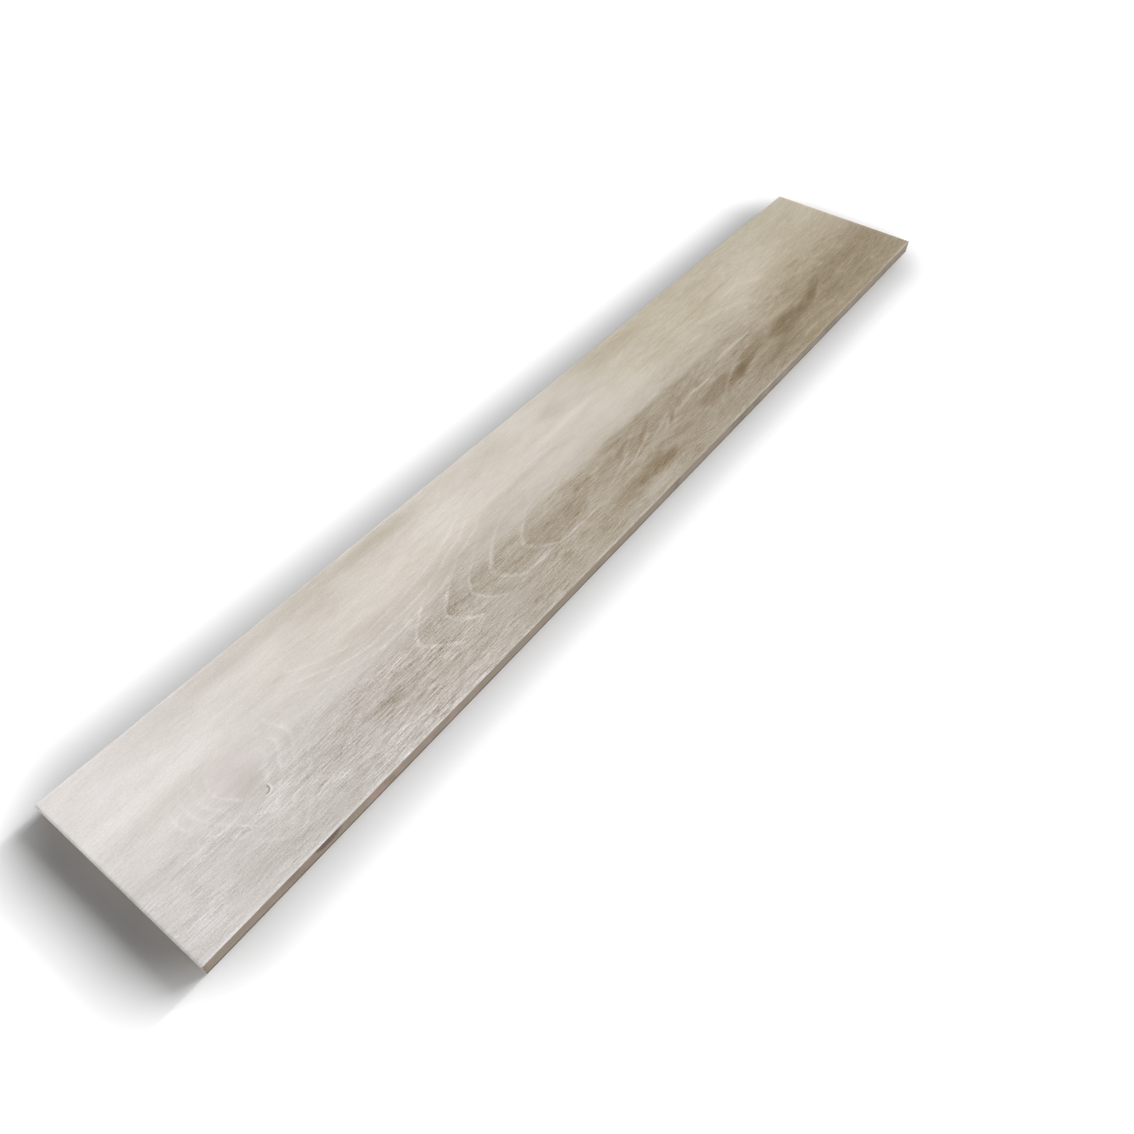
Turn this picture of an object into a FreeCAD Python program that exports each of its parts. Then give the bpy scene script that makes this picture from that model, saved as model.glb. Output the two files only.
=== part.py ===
"""Wood look porcelain plank tile: one pressed and fired plank, lying on its keyed back.

Units are millimetres. X runs along the plank, Y across it and Z up. The origin is the centre of
the back, on the plane that the ribs of the back rest on.
"""

import FreeCAD, Part
import math
import os

# The plank, measured over its widest line, the shoulder just below the face
PLANK_LENGTH = 900.0
PLANK_WIDTH = 150.0
PLANK_THICKNESS = 12.0
CORNER_RADIUS = 1.5

# The pillowed edge of the face: an elliptical roll from the face down to the shoulder
PILLOW_RUN = 2.0
PILLOW_DROP = 0.5

# The sides lean in towards the back, so that the die lets go, and end in a small chamfer
SIDE_LEAN = 0.3
BACK_CHAMFER = 0.6

# The keyed back: shallow pockets between ribs, inside a plain border
POCKET_TARGET = 28.0
POCKET_DEPTH = 0.8
POCKET_CORNER_CUT = 2.0
POCKET_WALL_LEAN = 0.5
RIB_WIDTH = 6.0
BACK_BORDER = 9.0

ALONG = FreeCAD.Vector(1, 0, 0)
ACROSS = FreeCAD.Vector(0, 1, 0)
UP = FreeCAD.Vector(0, 0, 1)
UPRIGHT = 90.0


def edge_section(span, axis):
    """Outline of the plank cut square across one pair of its edges, standing on the back.

    Args:
        span: size of the plank from shoulder to shoulder.
        axis: unit vector that points across the section.
    """
    shoulder = span / 2
    face_edge = shoulder - PILLOW_RUN
    side_foot = shoulder - SIDE_LEAN
    back_edge = side_foot - BACK_CHAMFER
    shoulder_height = PLANK_THICKNESS - PILLOW_DROP

    def at(offset, height):
        return axis * offset + UP * height

    def side_edges(side):
        centre = at(side * face_edge, shoulder_height)
        shoulder_point = at(side * shoulder, shoulder_height)
        face_point = at(side * face_edge, PLANK_THICKNESS)
        foot_point = at(side * side_foot, BACK_CHAMFER)
        roll = Part.ArcOfEllipse(Part.Ellipse(shoulder_point, face_point, centre), 0, math.pi / 2)
        return [
            Part.makeLine(at(side * back_edge, 0), foot_point),
            Part.makeLine(foot_point, shoulder_point),
            roll.toShape(),
        ]

    back = Part.makeLine(at(-back_edge, 0), at(back_edge, 0))
    face = Part.makeLine(at(face_edge, PLANK_THICKNESS), at(-face_edge, PLANK_THICKNESS))
    return Part.Wire([back] + side_edges(1) + [face] + side_edges(-1)[::-1])


def section_bar(span, axis, run, run_axis):
    """Bar with the edge section of one direction, longer than the plank in the other."""
    overrun = PLANK_THICKNESS
    bar = Part.Face(edge_section(span, axis)).extrude(run_axis * (run + 2 * overrun))
    return bar.translated(run_axis * -(run / 2 + overrun))


def corner_prism():
    """Upright block as large as the plank in plan, with the plank's round corners."""
    corner = FreeCAD.Vector(-PLANK_LENGTH / 2, -PLANK_WIDTH / 2, 0)
    block = Part.makeBox(PLANK_LENGTH, PLANK_WIDTH, PLANK_THICKNESS, corner)
    uprights = [edge for edge in block.Edges if edge.BoundBox.ZLength > PLANK_THICKNESS / 2]
    return block.makeFillet(CORNER_RADIUS, uprights)


def plank_blank():
    """Plank with its pillowed edges mitred at the corners, its leaning sides and a flat back."""
    long_bar = section_bar(PLANK_WIDTH, ACROSS, PLANK_LENGTH, ALONG)
    cross_bar = section_bar(PLANK_LENGTH, ALONG, PLANK_WIDTH, ACROSS)
    return long_bar.common(cross_bar).common(corner_prism())


def pocket_row(span):
    """Size of one pocket, and the centres of the pockets, along one direction of the back."""
    room = span - 2 * BACK_BORDER
    count = max(1, round((room + RIB_WIDTH) / (POCKET_TARGET + RIB_WIDTH)))
    pitch = (room + RIB_WIDTH) / count
    centres = [(index - (count - 1) / 2) * pitch for index in range(count)]
    return pitch - RIB_WIDTH, centres


def pocket_solid(length, width):
    """One pocket to cut away: it narrows from its mouth up to its floor, with cut corners."""
    lean = POCKET_WALL_LEAN
    mouth_end, mouth_side = length / 2, width / 2
    floor_end, floor_side = mouth_end - lean, mouth_side - lean
    wedge = Part.makeWedge(
        -mouth_end, 0, -mouth_side, -floor_side, -floor_end,
        mouth_end, POCKET_DEPTH, mouth_side, floor_side, floor_end,
    )
    wedge.rotate(FreeCAD.Vector(), ALONG, UPRIGHT)
    corner_edges = [edge for edge in wedge.Edges if edge.BoundBox.ZLength > POCKET_DEPTH / 2]
    return wedge.makeChamfer(POCKET_CORNER_CUT, corner_edges)


def back_pockets():
    """The pockets of the keyed back, as solids to cut away."""
    length, centres_along = pocket_row(PLANK_LENGTH)
    width, centres_across = pocket_row(PLANK_WIDTH)
    pocket = pocket_solid(length, width)
    return [
        pocket.translated(FreeCAD.Vector(along, across, 0))
        for along in centres_along
        for across in centres_across
    ]


def plank_tile():
    """The whole tile, one fired piece."""
    return plank_blank().cut(back_pockets()).removeSplitter()


os.makedirs("parts", exist_ok=True)
tile = plank_tile().Solids[0]
tile.exportStep("parts/plank_tile.step")
print("plank_tile volume", round(tile.Volume, 1), "valid", tile.isValid())
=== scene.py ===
"""Studio scene of one wood look porcelain plank tile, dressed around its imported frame.

The plank and its figure are written in millimetres, the finishes and the studio in Blender's metres.
X runs along the plank, Y across it and Z up, as in the frame, and the plank lies on its keyed back.
"""

import logging
import math
from collections.abc import Iterable
from dataclasses import dataclass
from enum import Enum, IntEnum

import bmesh
import bpy
import numpy as np
from mathutils import Color, Matrix, Vector, noise


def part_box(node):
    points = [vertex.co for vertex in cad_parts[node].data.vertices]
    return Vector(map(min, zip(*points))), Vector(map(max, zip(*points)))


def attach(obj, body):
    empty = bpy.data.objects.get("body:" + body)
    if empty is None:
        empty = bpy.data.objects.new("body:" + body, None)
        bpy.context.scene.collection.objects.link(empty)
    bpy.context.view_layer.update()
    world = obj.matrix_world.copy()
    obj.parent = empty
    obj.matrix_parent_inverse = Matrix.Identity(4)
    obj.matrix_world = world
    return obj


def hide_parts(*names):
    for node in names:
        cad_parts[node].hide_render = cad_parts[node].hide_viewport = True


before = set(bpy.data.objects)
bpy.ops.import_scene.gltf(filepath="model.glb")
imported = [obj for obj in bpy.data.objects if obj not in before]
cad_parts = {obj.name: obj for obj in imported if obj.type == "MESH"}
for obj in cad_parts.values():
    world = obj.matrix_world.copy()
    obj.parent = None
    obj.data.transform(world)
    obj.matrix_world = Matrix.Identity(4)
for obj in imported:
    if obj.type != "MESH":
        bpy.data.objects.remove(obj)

CAD_NODE = "plank_tile"
BODY = "root"
BAKE_MAP = "OFBake"
MM = 0.001
HALF = 0.5
FULL_TURN = 2.0 * math.pi
SCREEN_WHITE = 255.0
DARKEST_TONE = 1.4

Node = bpy.types.Node
Tree = bpy.types.NodeTree
Socket = bpy.types.NodeSocket
Material = bpy.types.Material
BMesh = bmesh.types.BMesh
Vert = bmesh.types.BMVert
Edge = bmesh.types.BMEdge
Face = bmesh.types.BMFace
Values = np.ndarray
Plug = Socket | float | tuple
Pair = tuple[float, float]
Triple = tuple[float, float, float]
Quad = tuple[float, float, float, float]
Colour = Triple

log = logging.getLogger("plank_tile_scene")


class Zone(IntEnum):
    """Which finish a face of the plank wears, as its material slot."""

    FACE = 0
    SIDE = 1
    BACK = 2


class Layer(str, Enum):
    """Figure of the wood, kept on the plank's vertices for the print to follow."""

    TONE = "tone"
    HUE = "hue"
    FLOW = "flow"
    GROOVE = "groove"
    FIBRE = "fibre_share"
    BLUSH = "knot_blush"
    # Rolled rim where the print is lightened: partly thinner print, partly a painted edge highlight
    RIM = "rim_highlight_share"
    EYE = "eye_rings"
    EYE_REACH = "eye_reach"
    ARCH = "arch_rings"
    ARCH_REACH = "arch_reach"
    VALLEY = "valley_veins"
    VALLEY_REACH = "valley_reach"


def eased(value: Values, low: float | Values, high: float | Values) -> Values:
    """Share of the way from low to high, eased at both ends.

    Args:
        value: what is placed between the two.
        low: value that gives 0. It may be above high.
        high: value that gives 1.

    Returns:
        The shares, from 0 to 1.
    """
    share = np.clip((value - low) / (high - low), 0.0, 1.0)
    return share * share * (3.0 - 2.0 * share)


def once(items: Iterable) -> list:
    """Each of the items once, in the order in which they first come."""
    return list(dict.fromkeys(items))


def linear(colour: Colour) -> Quad:
    """Colour written as screen values from 0 to 255, as Blender's own linear colour."""
    shares = Color([part / SCREEN_WHITE for part in colour])
    return (*shares.from_srgb_to_scene_linear(), 1.0)


@dataclass(frozen=True)
class Ease:
    """Eased step from 0, at low, to 1, at high. High may be the smaller of the two."""

    low: float
    high: float

    def at(self, value: Values) -> Values:
        """Share of the step at these values."""
        return eased(value, self.low, self.high)


@dataclass(frozen=True)
class Profile:
    """Value that changes in eased steps, each with its change, its start and its end."""

    start: float
    steps: tuple[Triple, ...]

    def at(self, place: Values) -> Values:
        """The value at these places."""
        return self.start + sum(change * eased(place, low, high) for change, low, high in self.steps)


@dataclass(frozen=True)
class Wave:
    """Smooth noise over the face, drawn out along the plank. The drift picks one of many patterns."""

    along: float
    across: float
    drift: float
    height: float = 1.0

    def at(self, x: Values, y: Values) -> Values:
        """Values at these places, up to about the height either way."""
        places = zip(x / self.along, y / self.across)
        return self.height * np.array([noise.noise((a, b, self.drift)) for a, b in places])


@dataclass(frozen=True)
class Patches:
    """Share that comes and goes over the face, and never falls below its least."""

    mean: float
    least: float
    wave: Wave

    def at(self, x: Values, y: Values) -> Values:
        """Shares at these places."""
        return np.clip(self.mean + self.wave.at(x, y), self.least, 1.0)


@dataclass(frozen=True)
class Stroke:
    """One soft mark of the print, longer along the plank than across it.

    A depth above 0 darkens the print there, and one below 0 lightens it.
    """

    along: float
    across: float
    half_length: float
    half_width: float
    depth: float
    slope: float = 0.0
    edge: float = 1.5

    def shade(self, x: Values, y: Values) -> Values:
        """What the mark adds to the tone.

        Args:
            x: places along the plank.
            y: places across it.

        Returns:
            The tone it adds at these places.
        """
        run = (x - self.along) / self.half_length
        rise = (y - self.across - self.slope * (x - self.along)) / self.half_width
        return self.depth * np.exp(-((run * run + rise * rise) ** self.edge))


@dataclass(frozen=True)
class GrainFigure:
    """The wood figure that the print shows and the press follows: a knot, arches and flames."""

    knot: Pair = (-367, -3)
    knot_bend: Pair = (40, 18)
    knot_squeeze: float = 0.4
    slow_sway: Wave = Wave(150, 60, 3, 2.6)
    quick_sway: Wave = Wave(45, 22, 8, 0.9)
    dark_sway: Wave = Wave(55, 24, 17, 4)
    restless_along: Ease = Ease(-120, -40)
    restless_across: Ease = Ease(12, -6)
    # Pointed rings of the eye round the knot
    eye_left: float = 14.0
    eye_right: float = 17.0
    eye_top: float = 18.0
    eye_foot: float = 20.0
    eye_point: Pair = (1.25, 1.9)
    eye_rings: float = 1.7
    eye_shake: Wave = Wave(24, 14, 1, 0.2)
    eye_outer: Ease = Ease(3.5, 2.8)
    eye_inner: Ease = Ease(0.85, 1)
    eye_left_fade: Ease = Ease(20, 8)
    eye_patches: Patches = Patches(0.5, 0.1, Wave(17, 10, 14, 1.2))
    blush_shake: Wave = Wave(16, 9, 19, 0.1)
    blush_edge: Ease = Ease(1.2, 0.65)
    # Nested arches of the cathedral
    arch_tip: float = -228.0
    arch_axis: float = -24.0
    arch_spacing: float = 28.0
    arch_swell: float = 30.0
    arch_upper: float = 14.0
    arch_lower: float = 17.0
    arch_shakes: tuple[Wave, Wave] = (Wave(16, 9, 2, 0.10), Wave(50, 20, 5, 0.08))
    arch_crowding: float = 0.3
    arch_crowded: float = 2.5
    arch_crowd_width: float = 0.75
    arch_first: Ease = Ease(-0.5, -0.1)
    arch_last: Ease = Ease(5.6, 3.2)
    arch_legs: Profile = Profile(0.3, ((0.7, 0, -14),))
    arch_left: Ease = Ease(14, 4)
    arch_right: Ease = Ease(-45, -40)
    arch_patches: Patches = Patches(0.75, 0.3, Wave(18, 9, 15, 0.8))
    # Veins that dip between the knot and the arches
    valley_foot: float = -240.0
    valley_base: float = -7.0
    valley_spacing: float = 9.0
    valley_curve: Pair = (0.0050, 0.0018)
    valley_shake: Wave = Wave(34, 12, 4, 0.25)
    valley_start: Ease = Ease(-318, -285)
    valley_end: Ease = Ease(-105, -150)
    valley_first: Ease = Ease(-0.7, -0.2)
    valley_last: Ease = Ease(2.8, 1.8)
    valley_patches: Patches = Patches(0.6, 0.1, Wave(30, 9, 16, 0.7))
    # Tone of the pale left side and the dark right side, and where the one turns into the other; both
    # darken towards the far end, partly as painted shade of the light falling off along the plank
    left_tone: Profile = Profile(0.18, ((0.09, -440, -260), (0.22, -60, 200), (-0.085, -400, 520)))
    right_tone: Profile = Profile(0.30, ((0.46, -440, 40), (0.24, 60, 300), (-0.17, -400, 520)))
    turn_start: Profile = Profile(22, ((-8, 60, 180), (38, 220, 400)))
    turn_end: Profile = Profile(-28, ((-20, -30, 120), (8, 200, 330)))
    loose_along: Wave = Wave(60, 12, 6, 8)
    loose_across: tuple[Wave, ...] = (
        Wave(80, 12, 7, 2.4), Wave(26, 5, 9, 1.5), Wave(9, 2.5, 10, 0.8),
    )
    loose_dark: Wave = Wave(42, 17, 18, 1.6)
    stroke_share: Profile = Profile(1, ((-0.25, 0, 330),))
    slow_clouds: Wave = Wave(120, 9, 11, 0.04)
    quick_clouds: Wave = Wave(34, 3.5, 12, 0.035)
    quick_side: Ease = Ease(40, -10)
    # Hue of each side, rising towards the far end, partly as a painted warmer falloff of the light there
    left_hue: Profile = Profile(0.14, ((0.42, -440, -140), (0.44, -60, 220)))
    right_hue: Profile = Profile(0, ((0.52, -440, 20), (0.30, 140, 300)))
    hue_turn: Ease = Ease(30, -20)
    hue_wave: Wave = Wave(90, 20, 13, 0.06)
    # Share of dark fibres
    fibre_base: Profile = Profile(0.10, ((0.06, -310, -250), (-0.06, -130, -60), (0.16, 40, 140)))
    near_fibres: Profile = Profile(0.36, ((0.56, -390, -270),))
    near_end: Ease = Ease(-100, -220)
    near_side: Ease = Ease(0, -30)
    dark_fibres: Profile = Profile(0, ((0.44, -360, -200), (-0.12, -60, 30), (-0.14, 60, 200)))
    dark_side: Ease = Ease(4, -14)
    blush_smooth: float = 0.9
    # Grooves along the fibres
    coarse_grooves: Wave = Wave(46, 2, 21)
    coarse_edge: Ease = Ease(0.05, 0.5)
    coarse_share: float = 0.65
    fine_grooves: Wave = Wave(26, 1.2, 22)
    fine_edge: Ease = Ease(0.1, 0.5)
    fine_share: float = 0.5
    strokes: tuple[Stroke, ...] = (
        # Clouds of the pale left side, from the near end to the far end
        Stroke(-405, 29, 62, 6, -0.06),
        Stroke(-396, 13, 62, 8, 0.075, 0.0, 2.5),
        Stroke(-330, 65, 80, 9, 0.07),
        Stroke(-250, 56, 20, 6, 0.08),
        Stroke(-205, 33, 42, 8, -0.08),
        Stroke(-178, 63, 38, 9, 0.15),
        Stroke(-225, 66, 60, 9, 0.08),
        Stroke(-150, 11, 125, 10, 0.10),
        Stroke(-138, 42, 32, 9, -0.06),
        Stroke(-70, 21, 58, 4, 0.09),
        Stroke(12, 52, 19, 8, 0.12),
        Stroke(12, 35, 40, 4, -0.10),
        Stroke(60, 22, 46, 6, -0.05),
        Stroke(118, 62, 50, 9, 0.08),
        Stroke(245, 57, 24, 5, 0.06),
        Stroke(218, 35, 60, 1.6, 0.11, 0.02),
        Stroke(332, -1, 13, 3.4, 0.12),
        # Heart of the knot, and the greyer patches of the right side before the arches
        Stroke(-367, -8, 12, 14, 0.07),
        Stroke(-385, -55, 42, 9, 0.05),
        Stroke(-335, -64, 42, 9, 0.07),
        Stroke(-300, -40, 45, 12, 0.07),
        Stroke(-258, -41, 26, 6, 0.13),
        Stroke(-215, -57, 24, 7, 0.09),
        # The taupe inside the arches
        Stroke(-212, -21, 13, 5, 0.10),
        Stroke(-182, -22, 16, 9, 0.09),
        Stroke(-156, -22, 18, 10, 0.09),
        Stroke(-100, -27, 32, 9, 0.06),
        Stroke(-66, -31, 12, 6, 0.09),
        # Dark band and ovals of the middle
        Stroke(40, -11, 115, 4, 0.15),
        Stroke(50, -22, 95, 9, 0.09),
        Stroke(112, -14, 34, 8, 0.06),
        Stroke(112, -38, 42, 24, 0.05),
        Stroke(8, -53, 33, 5.5, 0.19, 0.0, 2.5),
        Stroke(28, -55, 11, 4, 0.09),
        Stroke(-36, -54, 14, 6, 0.10),
        Stroke(124, -43, 26, 7, 0.17, 0.0, 2.5),
        Stroke(160, -44, 18, 4.5, 0.18, 0.08),
        Stroke(62, -47, 16, 3, 0.12),
        # Slanting streaks that cross the band, dark beside light
        Stroke(-30, -24, 20, 1.8, -0.10, 0.36),
        Stroke(2, -27, 26, 1.8, -0.15, 0.38),
        Stroke(12, -21, 16, 2.4, 0.12, 0.36),
        Stroke(28, -28, 22, 1.5, -0.14, 0.36),
        Stroke(38, -22, 15, 2.2, 0.12, 0.36),
        Stroke(52, -29, 18, 1.5, -0.13, 0.30),
        Stroke(58, -32, 6, 1.6, -0.12, 0.5),
        Stroke(65, -31, 6, 1.6, 0.14, 0.5),
        Stroke(72, -31, 6, 1.6, -0.13, 0.5),
        Stroke(82, -30, 7, 1.6, -0.12, 0.4),
        Stroke(12, -39, 30, 3.5, -0.08),
        Stroke(134, -45, 26, 1.6, -0.14, 0.42),
        Stroke(110, -29, 27, 1.4, -0.22),
        # The flame, which climbs to a tip, with the shapes round it
        Stroke(183, -39, 33, 5.6, 0.20, 0.10, 3.5),
        Stroke(156, -46, 14, 3.2, 0.14, 0.35, 2.0),
        Stroke(250, -43, 34, 8.0, 0.23, 0.03, 4.0),
        Stroke(256, -36, 24, 5, 0.10),
        Stroke(222, -51, 26, 5, 0.12, 0.25),
        Stroke(292, -40, 22, 5.6, 0.18, 0.10, 3.5),
        Stroke(316, -33, 20, 5.4, 0.16, 0.30, 3.5),
        Stroke(322, -50, 28, 3.0, 0.13, 0.0, 2.0),
        Stroke(188, -56, 26, 6, 0.11),
        Stroke(225, -58, 22, 5, 0.08),
        Stroke(255, -27, 45, 4, -0.12),
        Stroke(385, -14, 45, 7, -0.08),
        Stroke(372, -32, 42, 9, 0.13),
        Stroke(378, -50, 24, 5, 0.06),
        Stroke(176, -13, 26, 4, 0.08),
        Stroke(182, -48, 16, 2.2, -0.08),
        Stroke(306, -43.5, 15, 1.5, -0.14, 0.15, 2.0),
        # Pale lines and wisps
        Stroke(-122, -42, 15, 1.4, -0.28),
        Stroke(-74, -43, 22, 1.1, -0.20),
        Stroke(182, -21, 24, 1.3, -0.24, 0.0, 2.5),
        Stroke(186, 20, 38, 2.6, -0.09, -0.06),
        Stroke(237, 10, 24, 3.2, -0.11, -0.34),
        Stroke(174, 11, 9, 1.6, -0.12),
        Stroke(262, 25, 20, 2.6, -0.09, -0.02),
        Stroke(288, 17, 16, 3.0, -0.10, -0.4),
        Stroke(357, 30, 15, 2.2, -0.10),
        Stroke(324, 21, 16, 2, -0.08),
        Stroke(300, -60, 14, 3, -0.12),
        Stroke(246, -66, 17, 1.3, -0.22),
        Stroke(0, -68, 32, 6, -0.16),
        Stroke(112, -66, 30, 7, 0.05),
        Stroke(320, -69, 60, 5, -0.07),
    )

    def flow(self, x: Values, y: Values) -> Values:
        """Across coordinate of the fibres, bent so that they part round the knot.

        Args:
            x: places along the plank.
            y: places across it.

        Returns:
            The bent coordinate, in millimetres.
        """
        dx, dy = x - self.knot[0], y - self.knot[1]
        reach = (dx / self.knot_bend[0]) ** 2 + (dy / self.knot_bend[1]) ** 2
        bent = dy * (self.knot_squeeze + reach) / (1.0 + reach) + self.knot[1]
        sway = self.slow_sway.at(x, y) + self.quick_sway.at(x, y)
        return bent + sway + self.restless(x, y) * self.dark_sway.at(x, y)

    def restless(self, x: Values, y: Values) -> Values:
        """Where the dark wood wanders most, from 0 to 1: past the arches, on the right side."""
        return self.restless_along.at(x) * self.restless_across.at(y)

    def eye(self, x: Values, y: Values) -> tuple[Values, Values]:
        """Pointed rings round the knot.

        Args:
            x: places along the plank.
            y: places across it.

        Returns:
            The ring number, whole on a ring, and how far the rings show.
        """
        radius = self.eye_radius(x, y)
        ring = self.eye_rings * radius + self.eye_shake.at(x, y)
        reach = self.eye_outer.at(radius) * self.eye_inner.at(radius) * self.eye_left_fade.at(y)
        return ring, reach * self.eye_patches.at(x, y)

    def eye_radius(self, x: Values, y: Values) -> Values:
        """How far out of the knot's middle these places are, 1 at the edge of its heart.

        Args:
            x: places along the plank.
            y: places across it.

        Returns:
            The radii.
        """
        dx, dy = x - self.knot[0], y - self.knot[1]
        run = np.abs(dx) / np.where(dx < 0.0, self.eye_left, self.eye_right)
        rise = np.abs(dy) / np.where(dy < 0.0, self.eye_foot, self.eye_top)
        point = np.where(dy < 0.0, self.eye_point[0], self.eye_point[1])
        return (run**point + rise**point) ** (1.0 / point)

    def arch(self, x: Values, y: Values) -> tuple[Values, Values]:
        """Nested arches of the cathedral, closed towards the near end.

        Args:
            x: places along the plank.
            y: places across it.

        Returns:
            The arch number, whole on a vein, and how far the arches show.
        """
        rise = y - self.arch_axis
        side = np.where(rise > 0.0, self.arch_upper, self.arch_lower)
        back = self.arch_swell * (np.sqrt((rise / side) ** 2 + 1.0) - 1.0)
        step = (x - back - self.arch_tip) / self.arch_spacing
        crowd = self.arch_crowding * np.exp(-(((step - self.arch_crowded) / self.arch_crowd_width) ** 2))
        ring = step + crowd + sum(wave.at(x, y) for wave in self.arch_shakes)
        reach = self.arch_first.at(ring) * self.arch_last.at(ring)
        reach = reach * self.arch_legs.at(y) * self.arch_left.at(y) * self.arch_right.at(y)
        return ring, reach * self.arch_patches.at(x, y)

    def valley(self, x: Values, y: Values) -> tuple[Values, Values]:
        """Veins that dip between the knot and the arches.

        Args:
            x: places along the plank.
            y: places across it.

        Returns:
            The vein number, whole on a vein, and how far the veins show.
        """
        offset = x - self.valley_foot
        curve = np.where(offset < 0.0, self.valley_curve[0], self.valley_curve[1])
        height = y - self.valley_base - curve * offset * offset
        ring = height / self.valley_spacing + self.valley_shake.at(x, y)
        reach = self.valley_start.at(x) * self.valley_end.at(x)
        reach = reach * self.valley_first.at(ring) * self.valley_last.at(ring)
        return ring, reach * self.valley_patches.at(x, y)

    def tone(self, x: Values, y: Values) -> Values:
        """How dark the print is, from 0, cream, through 1, dark taupe, to the darkest umber; its
        darkening towards the far end is partly painted shade.

        Args:
            x: places along the plank.
            y: places across it.

        Returns:
            The tones.
        """
        loose_x = x + self.loose_along.at(x, y)
        loose_y = y + sum(wave.at(x, y) for wave in self.loose_across)
        loose_y = loose_y + self.restless(x, y) * self.loose_dark.at(x, y)
        left = self.left_tone.at(x)
        right = self.right_tone.at(x)
        tone = left + (right - left) * eased(loose_y, self.turn_start.at(x), self.turn_end.at(x))
        marks = sum(stroke.shade(loose_x, loose_y) for stroke in self.strokes)
        tone = tone + marks * self.stroke_share.at(x)
        tone = tone + self.slow_clouds.at(x, y) + self.quick_clouds.at(x, y) * self.quick_side.at(y)
        return np.clip(tone, 0.0, DARKEST_TONE)

    def hue(self, x: Values, y: Values) -> Values:
        """How olive the print is, from 0, neutral, to 1. It rises towards the far end, where the warm
        tint it brings is partly painted falloff of the light.

        Args:
            x: places along the plank.
            y: places across it.

        Returns:
            The shares of olive.
        """
        left = self.left_hue.at(x)
        right = self.right_hue.at(x)
        hue = left + (right - left) * self.hue_turn.at(y)
        return np.clip(hue + self.hue_wave.at(x, y), 0.0, 1.0)

    def blush(self, x: Values, y: Values) -> Values:
        """How far the smooth pinkish heart of the knot shows, from 0 to 1."""
        return self.blush_edge.at(self.eye_radius(x, y) + self.blush_shake.at(x, y))

    def fibre_share(self, x: Values, y: Values) -> Values:
        """How many dark fibres the print has.

        Args:
            x: places along the plank.
            y: places across it.

        Returns:
            The shares, from 0 to 1.
        """
        near = self.near_side.at(y) * self.near_end.at(x) * self.near_fibres.at(x)
        dark = self.dark_side.at(y) * self.dark_fibres.at(x)
        base = self.fibre_base.at(x)
        share = base + (1.0 - base) * np.maximum(near, dark)
        return np.clip(share * (1.0 - self.blush_smooth * self.blush(x, y)), 0.0, 1.0)

    def groove(self, x: Values, flow: Values) -> Values:
        """How deep the press goes along the fibres.

        Args:
            x: places along the plank.
            flow: bent across coordinate of the fibres.

        Returns:
            Depths from 0 to 1.
        """
        coarse = self.coarse_edge.at(self.coarse_grooves.at(x, flow))
        fine = self.fine_edge.at(self.fine_grooves.at(x, flow))
        return np.clip(self.coarse_share * coarse + self.fine_share * fine, 0.0, 1.0)


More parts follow.
